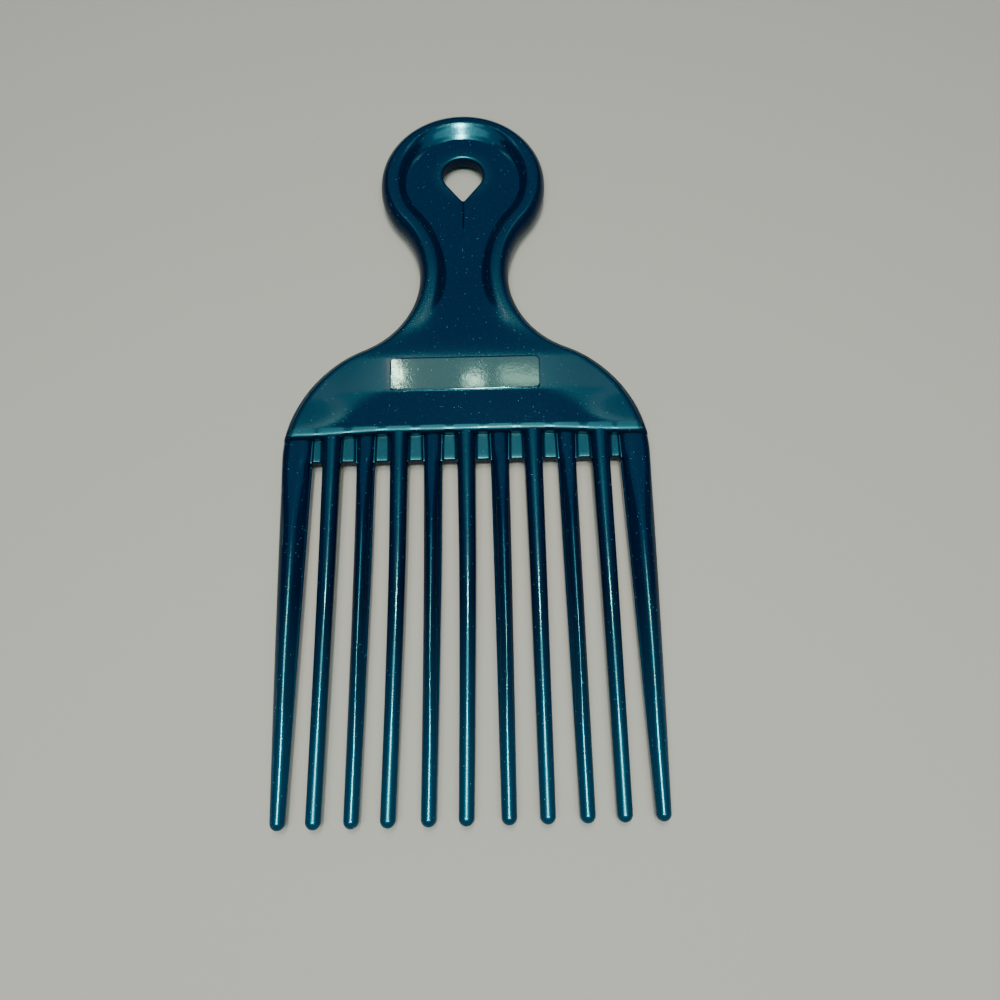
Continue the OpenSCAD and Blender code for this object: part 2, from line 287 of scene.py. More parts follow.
# Colours
DEEP_BLUE = (0.0004, 0.0070, 0.028)
SOFT_BLUE = (0.0007, 0.0105, 0.036)
# Painted light: the paler blue of the tooth tips stands in for light on them
PAINTED_LIGHT_TIP_BLUE = (0.004, 0.046, 0.086)
KNIT_BLUE = (0.0, 0.003, 0.016)
FLAKE_TEAL = (0.22, 0.44, 0.46)
TEAL = (0.19, 0.95, 0.97)
PALE_TEAL = (0.33, 0.86, 0.75)
PALE_GROUND = (0.72, 0.600, 0.475)
SKY_BLUE = (0.35, 0.55, 1.0)

# Finish of the plastic: roughness of a full polish and of the clear gloss, the least
# roughness anywhere, depths of the bumps in metres, and the pads' waves per metre
POLISHED = 0.09
COAT_ROUGHNESS = 0.10
LEAST_ROUGHNESS = 0.03
GRAIN_DEPTH = 0.00002
KNIT_DEPTH = 0.000108
WAVE_SCALE = 330.0

# Flecks: scales are per metre, and a flake's radius is in cells. A flake shows where its
# cell's random value passes a limit, and the dim flakes have a lower one.
FLAKE_SCALE = 4200.0
FLAKE_R = 0.33
BRIGHT_LIMIT = 0.99
DIM_LIMIT = 0.93
DIM_SHARE = 0.13
GRAIN_SCALE = 2600.0
CLOUD_SCALE = 55.0

# Knit line below the hole's point: its sway, half width and length in metres, and how
# much it gains per metre from its lower end up
SWAY_SCALE = 180.0
SWAY = 0.0006
KNIT_W = 0.00022
KNIT_L = 0.0105
KNIT_FADE = 300

# Painted light: tooth tips paler, for the light they catch. Where that ends in the frame,
# in metres, and how much it gains per metre towards the tip
TIP_END_Y = -0.037
TIP_FADE = 28

# Camera and the point it looks at, in millimetres: x, q and height over the floor. Its
# lens and sensor are in millimetres too, and the near end of its view in metres.
CAMERA_AT = (5.0, -11.618, 196.87)
LOOK_AT = (6.85, 65.622, 0.735)
LENS = 36
SENSOR = 36
CLIP_START = 0.01

# Half side of the floor, in metres, and its roughness
GROUND_HALF = 1.5
GROUND_ROUGHNESS = 0.9

# Lamps, in metres: name, place, point it faces, sides, brightness per area and colour
LAMPS = [
    ("cool_box", (0.0, -0.028, 0.60), (0.0, -0.028, 0.0), (0.05, 0.072), 45.0,
     (0.84, 0.95, 1.0)),
    ("wide_box", (0.0, -0.075, 0.61), (0.0, -0.075, 0.0), (0.56, 0.07), 0.8,
     (0.84, 0.95, 1.0)),
    ("mid_box", (0.0, 0.047, 0.60), (0.0, 0.047, 0.0), (0.28, 0.046), 1.5,
     (0.9, 0.95, 0.95)),
    ("warm_glow", (0.0, 0.134, 0.60), (0.0, -0.03, 0.0), (0.28, 0.034), 0.6,
     (1.0, 0.82, 0.68)),
    ("lip_box", (0.0, -0.215, 0.60), (0.0, -0.085, 0.0), (0.34, 0.07), 30.0,
     (0.80, 0.97, 1.0)),
    ("cool_tube", (-0.002, -0.092, 0.59), (-0.002, -0.092, 0.0), (0.008, 0.216), 130.0,
     (0.84, 0.96, 1.0)),
    ("warm_bulb", (0.02, 0.143, 0.80), (0, -0.04, 0), (0.015, 0.015), 450.0,
     (1.0, 0.93, 0.80)),
    ("far_panel", (-0.010, 0.296, 0.534), (0, 0.01, 0), (0.56, 0.045), 0.95,
     (1.0, 0.95, 0.80)),
    ("far_patch", (0.031, 0.291, 0.530), (0, 0.01, 0), (0.034, 0.012), 4.0,
     (1.0, 0.76, 0.60)),
    ("mid_patch", (-0.006, 0.290, 0.530), (0, 0.01, 0), (0.012, 0.008), 18.0,
     (1.0, 0.72, 0.60)),
    ("far_bar", (-0.070, 0.300, 0.530), (0, 0.01, 0), (0.0035, 0.022), 80.0,
     (1.0, 0.70, 0.55)),
    ("dim_sky", (0, 0.72, 0.9), (0, 0, 0), (1.6, 1.1), 0.19, (0.1, 0.45, 1.0)),
    ("near_sky", (0, -0.35, 0.9), (0, -0.08, 0), (1.6, 1.0), 0.33, (0.15, 0.6, 1.0)),
]
WORLD_STRENGTH = 0.02


def mix(a, b, t):
    """A share t of the way from a to b."""
    return a + (b - a) * t


def ease(t):
    """Smooth step: 3 t^2 - 2 t^3, with t held between 0 and 1."""
    t = np.clip(t, 0, 1)
    return t * t * (3 - 2 * t)


def soft_ramp(t, share=SIDE_ROUND_SHARE):
    """Ramp from 0 to 1 with rounded ends: t less a share of its sine."""
    t = np.clip(t, 0, 1)
    return t - share * np.sin(2 * math.pi * t) / (2 * math.pi)


def power(v, e):
    """Signed power: the sign of v times |v|^e."""
    return np.sign(v) * np.abs(v) ** e


def place(points):
    """Comb millimetres (x, q, z) to metres in the frame."""
    return (np.asarray(points, float) + np.array([0, -COMB_L / 2, MID_Z])) / 1000


# Meshes


def grid_faces(rows, cols, closed):
    """Quads between closed rings of points, ring to ring, and last to first if closed."""
    last = rows if closed else rows - 1
    r, k = np.meshgrid(np.arange(last), np.arange(cols), indexing="ij")
    up = ((r + 1) % rows) * cols
    faces = np.stack([r * cols + k, r * cols + (k + 1) % cols, up + (k + 1) % cols, up + k], -1)
    return faces.reshape(-1, 4)


def strip_cap(first, cols):
    """Cap of a ring whose points 0 and cols/2 are its two ends: bands across it."""
    half = cols // 2
    bands = [[first + k, first + k + 1, first + cols - k - 1, first + cols - k]
             for k in range(1, half - 1)]
    ends = [[first, first + 1, first + cols - 1],
            [first + half - 1, first + half, first + half + 1]]
    return bands + ends


def make_piece(name, points, faces, materials, nodes, polish=None):
    """A closed mesh from points in comb millimetres, turned so that its faces look out
    (positive volume), shaded smooth but for its sharp edges. Level faces take the first
    material, and steep flanks the second where there is one. The polish of each point,
    from a function of the points, is kept for the materials."""
    co = place(points)
    corners = np.array([[f[0], f[i], f[i + 1]] for f in faces for i in range(1, len(f) - 1)])
    t = co[corners]
    if np.einsum("ij,ij->i", t[:, 0], np.cross(t[:, 1], t[:, 2])).sum() < 0:
        faces = [f[::-1] for f in faces]
    mesh = bpy.data.meshes.new(name)
    mesh.from_pydata(co.tolist(), [], faces)
    mesh.shade_smooth()
    mesh.set_sharp_from_angle(angle=math.radians(SHARP))
    if polish is not None:
        shares = np.clip(polish(np.asarray(points)), -1, 1).astype(np.float32)
        mesh.attributes.new("polish", "FLOAT", "POINT").data.foreach_set("value", shares)
    for material in materials:
        mesh.materials.append(material)
    normals = np.zeros(3 * len(mesh.polygons), dtype=np.float32)
    mesh.polygons.foreach_get("normal", normals)
    steep = np.abs(normals.reshape(-1, 3)[:, 2]) < STEEP_SHARE
    index = np.minimum(steep.astype(np.int32), len(materials) - 1)
    mesh.polygons.foreach_set("material_index", index)
    piece = bpy.data.objects.new(name, mesh)
    bpy.context.scene.collection.objects.link(piece)
    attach(piece, "root")
    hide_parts(*nodes)
    return piece


def loft(name, rings, materials, nodes, caps=("strip", "strip"), closed=False,
         polish=None):
    """A closed solid from rings (rows, points, 3). Each end is closed by bands across the
    ring, or by a fan to the pole point given as its cap."""
    rings = np.asarray(rings, float)
    rows, cols = rings.shape[:2]
    points = rings.reshape(-1, 3)
    faces = grid_faces(rows, cols, closed).tolist()
    for end, cap in enumerate(() if closed else caps):
        first = end * (rows - 1) * cols
        if isinstance(cap, str):
            found = strip_cap(first, cols)
        else:
            points = np.vstack([points, np.asarray(cap, float)[None]])
            found = [[first + k, first + (k + 1) % cols, len(points) - 1] for k in range(cols)]
        faces += found if end else [f[::-1] for f in found]
    return make_piece(name, points, faces, materials, nodes, polish)


# Form of the body


def body_half_w(q):
    """Half width of the body up to the neck: the shoulder's circle, then the neck's."""
    low = SHOULDER_X + np.sqrt(np.maximum(SHOULDER_R ** 2 - (q - SHOULDER_Q) ** 2, 0))
    high = NECK_X - np.sqrt(np.maximum(NECK_R ** 2 - (q - NECK_Q) ** 2, 0))
    return np.where(q < SHOULDER_END_Q, low, high)


def edge_distance(x, q):
    """Distance from the nearest edge: to the shoulder's circle, or to the neck's."""
    x = np.abs(x)
    side = (x - SHOULDER_X) * (NECK_Q - SHOULDER_Q) - (q - SHOULDER_Q) * (NECK_X - SHOULDER_X)
    to_shoulder = SHOULDER_R - np.hypot(x - SHOULDER_X, q - SHOULDER_Q)
    to_neck = np.hypot(x - NECK_X, q - NECK_Q) - NECK_R
    return np.where(side > 0, to_shoulder, to_neck)


def edge_round(d):
    """Rise of a rounded edge: a quarter of an ellipse, then level."""
    return np.sqrt(np.maximum(1 - (1 - np.clip(d / EDGE_RUN, 0, 1)) ** 2, 0))


def middle_height(q):
    """A ramp from the neck's floor up to the pad, level under the pad, then a gentle fall
    to the tooth line."""
    ramp = mix(MIDDLE_H, FLOOR_H, ease((q - CREASE_Q) / (NECK_Q - CREASE_Q)))
    fall = mix(MIDDLE_H, LIP_H, (PAD_Q - q) / (PAD_Q - TOOTH_L))
    return np.where(q > CREASE_Q, ramp, np.where(q > PAD_Q, MIDDLE_H, fall))


def body_height(x, q):
    """Height of the body over the mid-plane: the bead of the neck turns into the wing's
    edge, which falls outwards, the wings climb slowly inwards, and the middle stands over
    them."""
    d = edge_distance(x, q)
    edge_h = mix(RIM_H, WING_H, ease((np.abs(x) - FALL_X) / FALL_RUN))
    lip_gain = mix(0, LIP_H - WING_H, ease((PAD_Q - q) / (PAD_Q - TOOTH_L)))
    middle = middle_height(q)
    neck_part = mix(edge_h, middle, soft_ramp((d - RIM_W + SLOPE_W) / SLOPE_W))
    climb = mix(1, ease((d - EDGE_RUN) / NECK_CLIMB), ease((q - CREASE_Q) / CLIMB_FADE))
    reach = ease((MIDDLE_X - np.abs(x)) / CROWN_RUN)
    crown = mix(edge_h + lip_gain, middle, reach * climb)
    blend = ease((NECK_Q - NECK_STAY - q) / (NECK_Q - NECK_STAY - CREASE_Q))
    return mix(neck_part, crown, blend) * edge_round(d)


def crest_polish(q):
    """Polish of the bead's crest: a little beside the neck, more round the handle."""
    return mix(NECK_CREST_POLISH, CREST_POLISH, ease((q - CREST_Q) / CREST_RUN))


def gap_share(x):
    """1 over the gaps between the teeth and 0 over the teeth."""
    share = np.zeros(x.shape)
    for i in range(1, TEETH):
        left, right = gap_ends(i, TOOTH_L)
        inside = (right - left) / 2 + GAP_SPILL - np.abs(x - (left + right) / 2)
        share = np.maximum(share, ease(inside / GAP_FADE))
    return share


def body_polish(points):
    """Polish of the body: full on the neck's floor, less on the ramp below it, and full
    on the slope between the pad and the tooth line, whose upper border falls towards the
    ends of that line; none on the wings. The lip is bright over the gaps and dull over
    the teeth."""
    x, q = np.abs(points[:, 0]), points[:, 1]
    d = edge_distance(x, q)
    run = mix(RAMP_SLOPE_W, SLOPE_W, ease((q - NECK_SLOPE_Q) / NECK_SLOPE_RUN))
    high = mix(crest_polish(q), 1, ease((d - RIM_W + SLOPE_W) / run))
    ramp = RAMP_POLISH * ease((d - RAMP_EDGE) / RAMP_EDGE_RUN)
    neck = mix(ramp, high, ease((q - RAMP_Q) / RAMP_RUN))
    border = SLOPE_X + SLOPE_SPREAD * (PAD_Q - q)
    below_pad = ease((PAD_Q + PAD_FADE_START - q) / PAD_FADE)
    slope = ease((border + SLOPE_MARGIN - x) / SLOPE_FADE) * below_pad
    lip = mix(TOOTH_LIP_POLISH, GAP_LIP_POLISH, gap_share(points[:, 0]))
    front = mix(lip, slope, ease((q - TOOTH_L - LIP_FADE_START) / LIP_FADE))
    return np.where(q > CREASE_Q, neck, front)


def both_sides(x, q, z):
    """Rings (rows, points, 3) from a front face (rows, columns): left to right over the
    front, then back below, with the two outer columns shared."""
    front = np.stack([x, q, z], -1)
    back = (front * np.array([1, 1, -1]))[:, -2:0:-1]
    return np.concatenate([front, back], 1)


# Form of the teeth


def lean_at(t):
    """Lean of an outer tooth's outside: mostly straight, with a small bow."""
    return OUTER_LEAN * (LEAN_SHARE * t + (1 - LEAN_SHARE) * t * t)


def flanks(i, q):
    """Left and right flank of tooth i (1 to 11) at heights q, without its bent tip."""
    q = np.asarray(q, float)
    if i in (1, TEETH):
        t = np.maximum(SHOULDER_Q - q, 0) / (SHOULDER_Q - TIP_R)
        out = np.where(q > SHOULDER_Q, body_half_w(q), SHOULDER_W / 2 - lean_at(t))
        foot_x = SHOULDER_W / 2 - OUTER_W
        low = SHOULDER_W / 2 - lean_at(1.0) - 2 * TIP_R
        inn = np.where(
            q < FOOT_Q,
            mix(low, foot_x, (q - TIP_R) / (FOOT_Q - TIP_R)),
            foot_x - mix(0, FLARE / 2, (q - FOOT_Q) / (TOOTH_L - FOOT_Q)),
        )
        return (-out, -inn) if i == 1 else (inn, out)
    centre = (i - MIDDLE_TOOTH) * PITCH * mix(FAN_SHARE, 1, np.clip(q / FOOT_Q, 0, 1))
    half = np.where(
        q < FOOT_Q,
        mix(TIP_R, TOOTH_W / 2, (q - TIP_R) / (FOOT_Q - TIP_R)),
        mix(TOOTH_W, TOOTH_W + FLARE, (q - FOOT_Q) / (TOOTH_L - FOOT_Q)) / 2,
    )
    return centre - half, centre + half


def gap_ends(i, q):
    """Left and right end of gap i, between teeth i and i + 1, at height q."""
    return float(flanks(i, q)[1]), float(flanks(i + 1, q)[0])


def tip_bend(i, q):
    """How far tooth i stands off its regular place: it grows from mid length to the tip."""
    return TIP_LEANS[i - 1] * (np.clip(BEND_Q - q, 0, BEND_Q) / BEND_Q) ** BEND_POWER


def tooth_heights(q):
    """Heights of a tooth's two halves: the deep one tapers evenly, the shallow one has
    steps of a tenth of a millimetre, which show as bright and dull lengths."""
    deep = mix(TIP_R, LIP_H - CREST_DROP, (q - TIP_R) / (TOOTH_L - TIP_R))
    shallow = np.interp(q, SHALLOW_STOPS, SHALLOW_HEIGHTS)
    root = np.maximum(q - TOOTH_L + SHALLOW_RUN, 0) / SHALLOW_RUN
    return deep, shallow + SHALLOW_RISE * root


def ledge_width(q):
    """Width of the ledge on a tooth's inner side at q: it widens from the tip's end and
    closes at the web's foot."""
    wide = ease((q - LEDGE_Q) / LEDGE_RUN)
    shut = ease((WEB_FOOT + LEDGE_PAST - q) / LEDGE_END_RUN)
    return LEDGE_THIN + LEDGE_GAIN * float(wide * shut)


def tooth_ring(i, q, put_q, grow):
    """Section of tooth i at q, put at put_q and scaled by grow. Each half is a power
    curve of an angle t, x = a cos^e1 t and z = h sin^e2 t: below 1 the exponents make a
    flat back, above 1 a narrow ridge. The shallow half runs between two ledges, where
    the deep half below stands out past it."""
    left, right = (float(v) for v in flanks(i, q))
    mid, a = (left + right) / 2, (right - left) / 2
    deep, shallow = (float(v) for v in tooth_heights(q))
    t_root = np.clip((q - TIP_R) / (TOOTH_L - TIP_R), 0, 1)
    flat = float(mix(1.0, FLAT_POWER, ease(t_root / FLAT_SHARE)))
    ridge = float(mix(1.0, RIDGE_POWER, ease(t_root / RIDGE_SHARE)))
    to_root = float(ease((q - ROOT_Q) / ROOT_RUN))
    e1, e2 = mix(1.0, flat, to_root), mix(ridge, flat, to_root)
    lw, rw = LEDGE_THIN, ledge_width(q)
    if i > MIDDLE_TOOTH:
        lw, rw = rw, lw

    t = np.linspace(0, math.pi, HALF_POINTS)
    base = LEDGE_RISE_SHARE * mix(rw, lw, (1 - np.cos(t)) / 2)
    x = (lw - rw) / 2 + (a - (lw + rw) / 2) * power(np.cos(t), e1)
    z = base + (shallow - base) * np.abs(np.sin(t)) ** e2
    right_up = LEDGE_RISE_SHARE * rw * LEDGE_UP
    left_up = LEDGE_RISE_SHARE * lw * LEDGE_UP
    sx = np.concatenate([[a], a - rw * LEDGE_IN, x, (-a + lw * LEDGE_IN)[::-1], [-a]])
    sz = np.concatenate([[0], right_up, z, left_up[::-1], [0]])
    t = np.linspace(0, math.pi, len(sx))
    dx = a * power(np.cos(t), flat)
    dz = deep * np.abs(np.sin(t)) ** flat
    if i % 2:
        ring_x = np.concatenate([sx, dx[-2:0:-1]])
        ring_z = np.concatenate([sz, -dz[-2:0:-1]])
    else:
        ring_x = np.concatenate([dx, sx[-2:0:-1]])
        ring_z = np.concatenate([dz, -sz[-2:0:-1]])
    ring_x = mid + float(tip_bend(i, put_q)) + ring_x * grow
    return np.stack([ring_x, np.full(len(ring_x), put_q), ring_z * grow], -1)


def tooth_piece(i, materials):
    """Tooth i: a round tip of rings that shrink with the cosine of their angle, then the
    shank up into the shoulder."""
    rings = []
    for angle in np.radians(np.linspace(*TIP_ANGLES, TIP_RINGS)):
        put = TIP_R * (1 - math.sin(angle))
        rings.append(tooth_ring(i, TIP_R, put, math.cos(angle)))
    shank = np.linspace(TIP_R, SHANK_Q, SHANK_RINGS)
    root = np.linspace(SHANK_Q, TOOTH_L + ROOT_SINK, ROOT_RINGS)[1:]
    rings += [tooth_ring(i, float(q), float(q), 1.0) for q in np.concatenate([shank, root])]
    left, right = flanks(i, TIP_R)
    pole = [(float(left) + float(right)) / 2 + float(tip_bend(i, 0.0)), 0.0, 0.0]
    steps = OUTER_POLISH if i in (1, TEETH) else ODD_POLISH if i % 2 else EVEN_POLISH

    def tooth_polish(points):
        return np.interp(points[:, 1], *np.array(steps).T)

    name = "tooth_%02d" % i
    return loft(name + "_shank", rings, materials, [name], (pole, "strip"),
                polish=tooth_polish)


# Form of the webs, shoulder, neck, pads and handle


def lip_columns():
    """Columns of the shoulder as shares of its half width: close together at the outside
    edge and at both ends of each gap."""
    w = float(body_half_w(TOOTH_L))
    edge = w - EDGE_BAND * (1 - np.cos(np.linspace(0, math.pi / 2, EDGE_COLUMNS)))
    xs = list(-edge)
    for i in range(1, TEETH):
        left, right = gap_ends(i, TOOTH_L)
        turn = np.linspace(0, math.pi, GAP_COLUMNS)
        xs += list(np.linspace(xs[-1], left, TOOTH_COLUMNS)[1:-1])
        xs += list((left + right) / 2 - (right - left) / 2 * np.cos(turn))
    xs += list(np.linspace(xs[-1], edge[-1], TOOTH_COLUMNS)[1:-1])
    xs += list(edge[::-1])
    return np.array(xs) / w


def shoulder_piece(materials):
    """The shoulder: up the wall over the webs, round the lip, and over to the pad's upper
    edge. The wall and the lip are shares of the height that the body has there."""
    s = lip_columns()
    x0 = s * float(body_half_w(TOOTH_L))
    lip = TOOTH_L - LIP_DROP - LIP_BOW * ease((np.abs(x0) - BOW_X) / BOW_RUN)
    h = body_height(x0, lip + LIP_R)
    small = np.minimum(LIP_R, h / 2)
    rows = [(lip, (h - small) * share) for share in WALL_SHARES]
    for a in np.radians(np.linspace(0, 90, LIP_ROWS)):
        rows.append((lip + LIP_R * (1 - math.cos(a)), h - small * (1 - math.sin(a))))
    for share in np.linspace(0, 1, SLOPE_ROWS)[1:]:
        rows.append((mix(lip + LIP_R, PAD_Q, share), None))
    for share in np.linspace(0, 1, PAD_ROWS)[1:]:
        rows.append((np.full(s.shape, mix(PAD_Q, CREASE_Q, share)), None))
    q = np.array([row[0] for row in rows])
    x = s[None] * body_half_w(q)
    z = np.array([body_height(x[k], q[k]) if row[1] is None else row[1]
                  for k, row in enumerate(rows)])
    return loft("shoulder_shell", both_sides(x, q, z), materials, ["shoulder"],
                polish=body_polish)


def neck_piece(materials):
    """The neck: rows from the pad's upper edge to the handle, columns at the sine of an
    even angle, so that they crowd towards the rounded edge."""
    s = np.sin(np.linspace(-math.pi / 2, math.pi / 2, NECK_COLUMNS))
    q = np.linspace(CREASE_Q, NECK_Q, NECK_ROWS)[:, None] + 0 * s[None]
    x = s[None] * body_half_w(q)
    return loft("neck_shell", both_sides(x, q, body_height(x, q)), materials, ["neck"],
                polish=body_polish)


def handle_stations():
    """Pairs of points, outside and floor's edge, right round the handle from the neck."""
    a = np.linspace(0, NECK_END, NECK_STEPS)[:-1]
    neck = [np.stack([NECK_X - (NECK_R + g) * np.cos(a), NECK_Q + (NECK_R + g) * np.sin(a)], -1)
            for g in (0, RIM_W)]
    a = np.linspace(-NECK_END, 0, LOW_STEPS)[:-1]
    low = [np.stack([r * np.cos(a), BULB_Q + r * np.sin(a)], -1) for r in (BULB_R, FLOOR_R)]
    a = np.linspace(0, math.pi / 2, HIGH_STEPS)
    high = [np.stack([r * np.cos(a), CROWN_Q + r * np.sin(a)], -1)
            for r in (BULB_R, FLOOR_R)]
    half = [np.concatenate([neck[k], low[k], high[k]]) for k in (0, 1)]
    flip = np.array([-1, 1])
    return [np.concatenate([p, (p * flip)[-2::-1]]) for p in half]


def rim_height(d, width, share):
    """Height of the bead: a rounded outside, a level crest and a slope to the floor."""
    slope = soft_ramp((d - width + SLOPE_W) / SLOPE_W, share)
    return mix(RIM_H, FLOOR_H, slope) * edge_round(d)


def rim_polish(points):
    """Polish of the bead: some on its crest, more at the top, and full at the floor's
    edge beside and below the hole."""
    x, q = np.abs(points[:, 0]), points[:, 1]
    to_bulb = BULB_R - np.hypot(x, q - np.clip(q, BULB_Q, CROWN_Q))
    low = (q - NECK_Q) * NECK_X < (NECK_X - x) * (BULB_Q - NECK_Q)
    d = np.where(low, np.hypot(x - NECK_X, q - NECK_Q) - NECK_R, to_bulb)
    side = ease((d - RIM_W + SLOPE_W) / SLOPE_W)
    crest = mix(crest_polish(q), TOP_POLISH, ease((q - BULB_Q - TOP_RISE) / TOP_RUN))
    return mix(crest, 1, side * ease((BULB_Q + TOP_RUN - q) / TOP_RUN))


def rim_piece(materials):
    """The bead round the handle: at each station a section from the outside over the
    crest to the floor's edge, and back below."""
    outer, inner = handle_stations()
    share = np.linspace(0, 1, BEAD_POINTS) ** BEAD_CROWDING
    width = np.linalg.norm(inner - outer, axis=1)
    flat = mix(outer[:, None], inner[:, None], share[None, :, None])
    turn = np.arctan2(outer[:, 1] - CROWN_Q, np.abs(outer[:, 0]))
    to_top = ease((turn - ROUND_TURN) / ROUND_TURN_RUN)
    round_share = mix(SIDE_ROUND_SHARE, TOP_ROUND_SHARE, to_top)
    z = rim_height(share[None] * width[:, None], width[:, None], round_share[:, None])
    front = np.concatenate([flat, z[..., None]], -1)
    middle = front[:, -1:] * np.array([1, 1, 0])
    back = (front * np.array([1, 1, -1]))[:, :0:-1]
    rings = np.concatenate([front, middle, back], 1)
    return loft("handle_rim_bead", rings, materials, ["handle_rim"],
                polish=rim_polish)


def hole_radius(angle):
    """Distance of the hole's edge from the centre of its round, by angle: the round, then
    the two sides that run to the point, r / cos(b - f), then the point's own small round."""
    f = np.abs((angle + math.pi / 2 + math.pi) % (2 * math.pi) - math.pi)
    b = math.acos(HOLE_R / HOLE_POINT)
    r = np.where(f < b, HOLE_R / np.cos(b - np.minimum(f, b)), HOLE_R)
    c = HOLE_POINT - POINT_R / math.cos(b)
    inside = POINT_R ** 2 - (c * np.sin(f)) ** 2
    tip = c * np.cos(f) + np.sqrt(np.maximum(inside, 0))
    return np.where((f < b) & (inside > 0), np.minimum(r, tip), r)


def floor_piece(materials):
    """The floor: at each angle round the hole, a section from the bead inwards, over the
    hole's rounded edge, down its wall and back below. Its level face is polished but
    beside the hole, and the hole's edge is dull."""
    _, edge = handle_stations()
    across = np.linspace(-edge[0, 0], edge[0, 0], FLOOR_COLUMNS)
    bottom = np.stack([across, np.full(FLOOR_COLUMNS, NECK_Q)], -1)[1:-1]
    edge = np.concatenate([edge, bottom])
    centre = np.array([0, HOLE_Q])
    away = edge - centre
    angle = np.arctan2(away[:, 1], away[:, 0])
    direction = away / np.linalg.norm(away, axis=1)[:, None]
    hole = centre + direction * hole_radius(angle)[:, None]
    r = HOLE_EDGE_R
    level = np.linspace(0, 1, FLOOR_ROWS) ** FLOOR_CROWDING
    top = [(mix(edge, hole + direction * r, share), FLOOR_H) for share in level]
    for a in np.radians(np.linspace(HOLE_FIRST_ANGLE, 90, HOLE_ROWS)):
        top.append((hole + direction * r * (1 - math.sin(a)), FLOOR_H - r * (1 - math.cos(a))))
    top.append((hole, HOLE_WALL_H))
    back = [(p, -z) for p, z in top[::-1]]
    rings = np.stack([np.concatenate([p, np.full((len(p), 1), z)], 1) for p, z in top + back], 1)
    start = HOLE_R + DULL_PAST_ROUND
    run = hole_radius(angle).max() + DULL_PAST_POINT - start

    def floor_polish(points):
        away = np.hypot(points[:, 0], points[:, 1] - HOLE_Q)
        flat = np.abs(points[:, 2]) > FLOOR_H - LEVEL_PLAY
        return np.where(flat, ease((away - start) / run), HOLE_POLISH)

    return loft("handle_floor_plate", rings, materials, ["handle_floor"],
                closed=True, polish=floor_polish)


def web_section(i, s):
    """Section of web i at a share s of the way across its gap: the face, which curves up
    into the teeth and the wall with the square of the nearness, the foot's rounded edge,
    the foot's wall, and the same below."""
    gap_l, gap_r = gap_ends(i, WEB_FOOT)
    x_foot = mix(gap_l - WEB_SINK, gap_r + WEB_SINK, s)
    d = max(min(x_foot - gap_l, gap_r - x_foot), 0.0)
    to_corner = WEB_CORNER - min(d, WEB_CORNER)
    foot = WEB_FOOT - (WEB_CORNER - math.sqrt(WEB_CORNER ** 2 - to_corner ** 2))
    side = WEB_RISE * max(1 - d / RISE_W, 0.0) ** 2
    q = [TOOTH_L - step for step in WEB_STEPS]
    q += list(np.linspace(TOOTH_L - WEB_FACE_TOP, WEB_FOOT + WEB_FACE_END, WEB_ROWS))
    line = [(v, WEB_H + side + WEB_RISE * max(1 - (TOOTH_L - v) / RISE_L, 0.0) ** 2)
            for v in q]
    for a in np.radians(np.linspace(0, 90, WEB_EDGE_ROWS)):
        line.append((foot + WEB_EDGE_R * (1 - math.sin(a)),
                     (WEB_H + side) - WEB_EDGE_R * (1 - math.cos(a))))
    line.append((foot, WEB_WALL_H))
    ring = []
    for v, z in line:
        left, right = gap_ends(i, min(v, TOOTH_L))
        ring.append([mix(left - WEB_SINK, right + WEB_SINK, s), v, z])
    return ring + [[x, v, -z] for x, v, z in ring[::-1]]


def web_piece(i, materials):
    """Web i: sections along the comb, set across the gap at the cosine of an even angle,
    so that they crowd towards the teeth."""
    shares = (1 - np.cos(np.linspace(0, math.pi, WEB_COLUMNS))) / 2
    rings = np.array([web_section(i, s) for s in shares])
    name = "web_%02d" % i
    return loft(name + "_panel", rings, materials, [name],
                (rings[0].mean(0), rings[-1].mean(0)))


def pad_piece(side, materials):
    """A pad: rounded rectangles that rise out of the shoulder and draw in to its middle."""
    long, short = PAD_W / 2, (CREASE_Q - PAD_Q) / 2
    mid_q = (CREASE_Q + PAD_Q) / 2
    rings = []
    for inset, rise in PAD_RINGS:
        corner = max(PAD_CORNER - inset, LEAST_CORNER)
        level = np.full(CORNER_POINTS, side * (MIDDLE_H + rise))
        ring = []
        for cx, cy, turn in ((1, 1, 0), (-1, 1, 1), (-1, -1, 2), (1, -1, 3)):
            a = np.radians(90 * turn + np.linspace(0, 90, CORNER_POINTS))
            px = cx * (long - inset - corner) + corner * np.cos(a)
            py = cy * (short - inset - corner) + corner * np.sin(a)
            ring.append(np.stack([px, mid_q + py, level], -1))
        rings.append(np.concatenate(ring))
    name = "pad_front" if side > 0 else "pad_back"
    poles = ([0, mid_q, side * (MIDDLE_H - PAD_SINK)], [0, mid_q, side * (MIDDLE_H + PAD_T)])
    return loft(name + "_plate", rings, materials, [name], poles)


# Materials


def node(tree, kind, links=None, **values):
    """A shader node: its properties, the values of its inputs, and links into them."""
    made = tree.nodes.new("ShaderNode" + kind)
    for key, value in values.items():
        if hasattr(made, key):
            setattr(made, key, value)
        else:
            made.inputs[key].default_value = value
    for key, source in (links or {}).items():
        tree.links.new(source, made.inputs[key])
    return made


def math_node(tree, operation, a, b=None, clamp=False):
    """A math node whose inputs are sockets or numbers."""
    made = tree.nodes.new("ShaderNodeMath")
    made.operation = operation
    made.use_clamp = clamp
    for slot, value in ((0, a), (1, b)):
        if value is None:
            continue
        if isinstance(value, (int, float)):
            made.inputs[slot].default_value = value
        else:
            tree.links.new(value, made.inputs[slot])
    return made.outputs[0]


def blend_color(tree, factor, a, b):
    """Colour a share of the way from a to b, which are sockets or colours. The share is
    a socket."""
    made = tree.nodes.new("ShaderNodeMix")
    made.data_type = "RGBA"
    for slot, value in ((0, factor), (6, a), (7, b)):
        if isinstance(value, bpy.types.NodeSocket):
            tree.links.new(value, made.inputs[slot])
        else:
            made.inputs[slot].default_value = (*value, 1)
    return made.outputs[2]


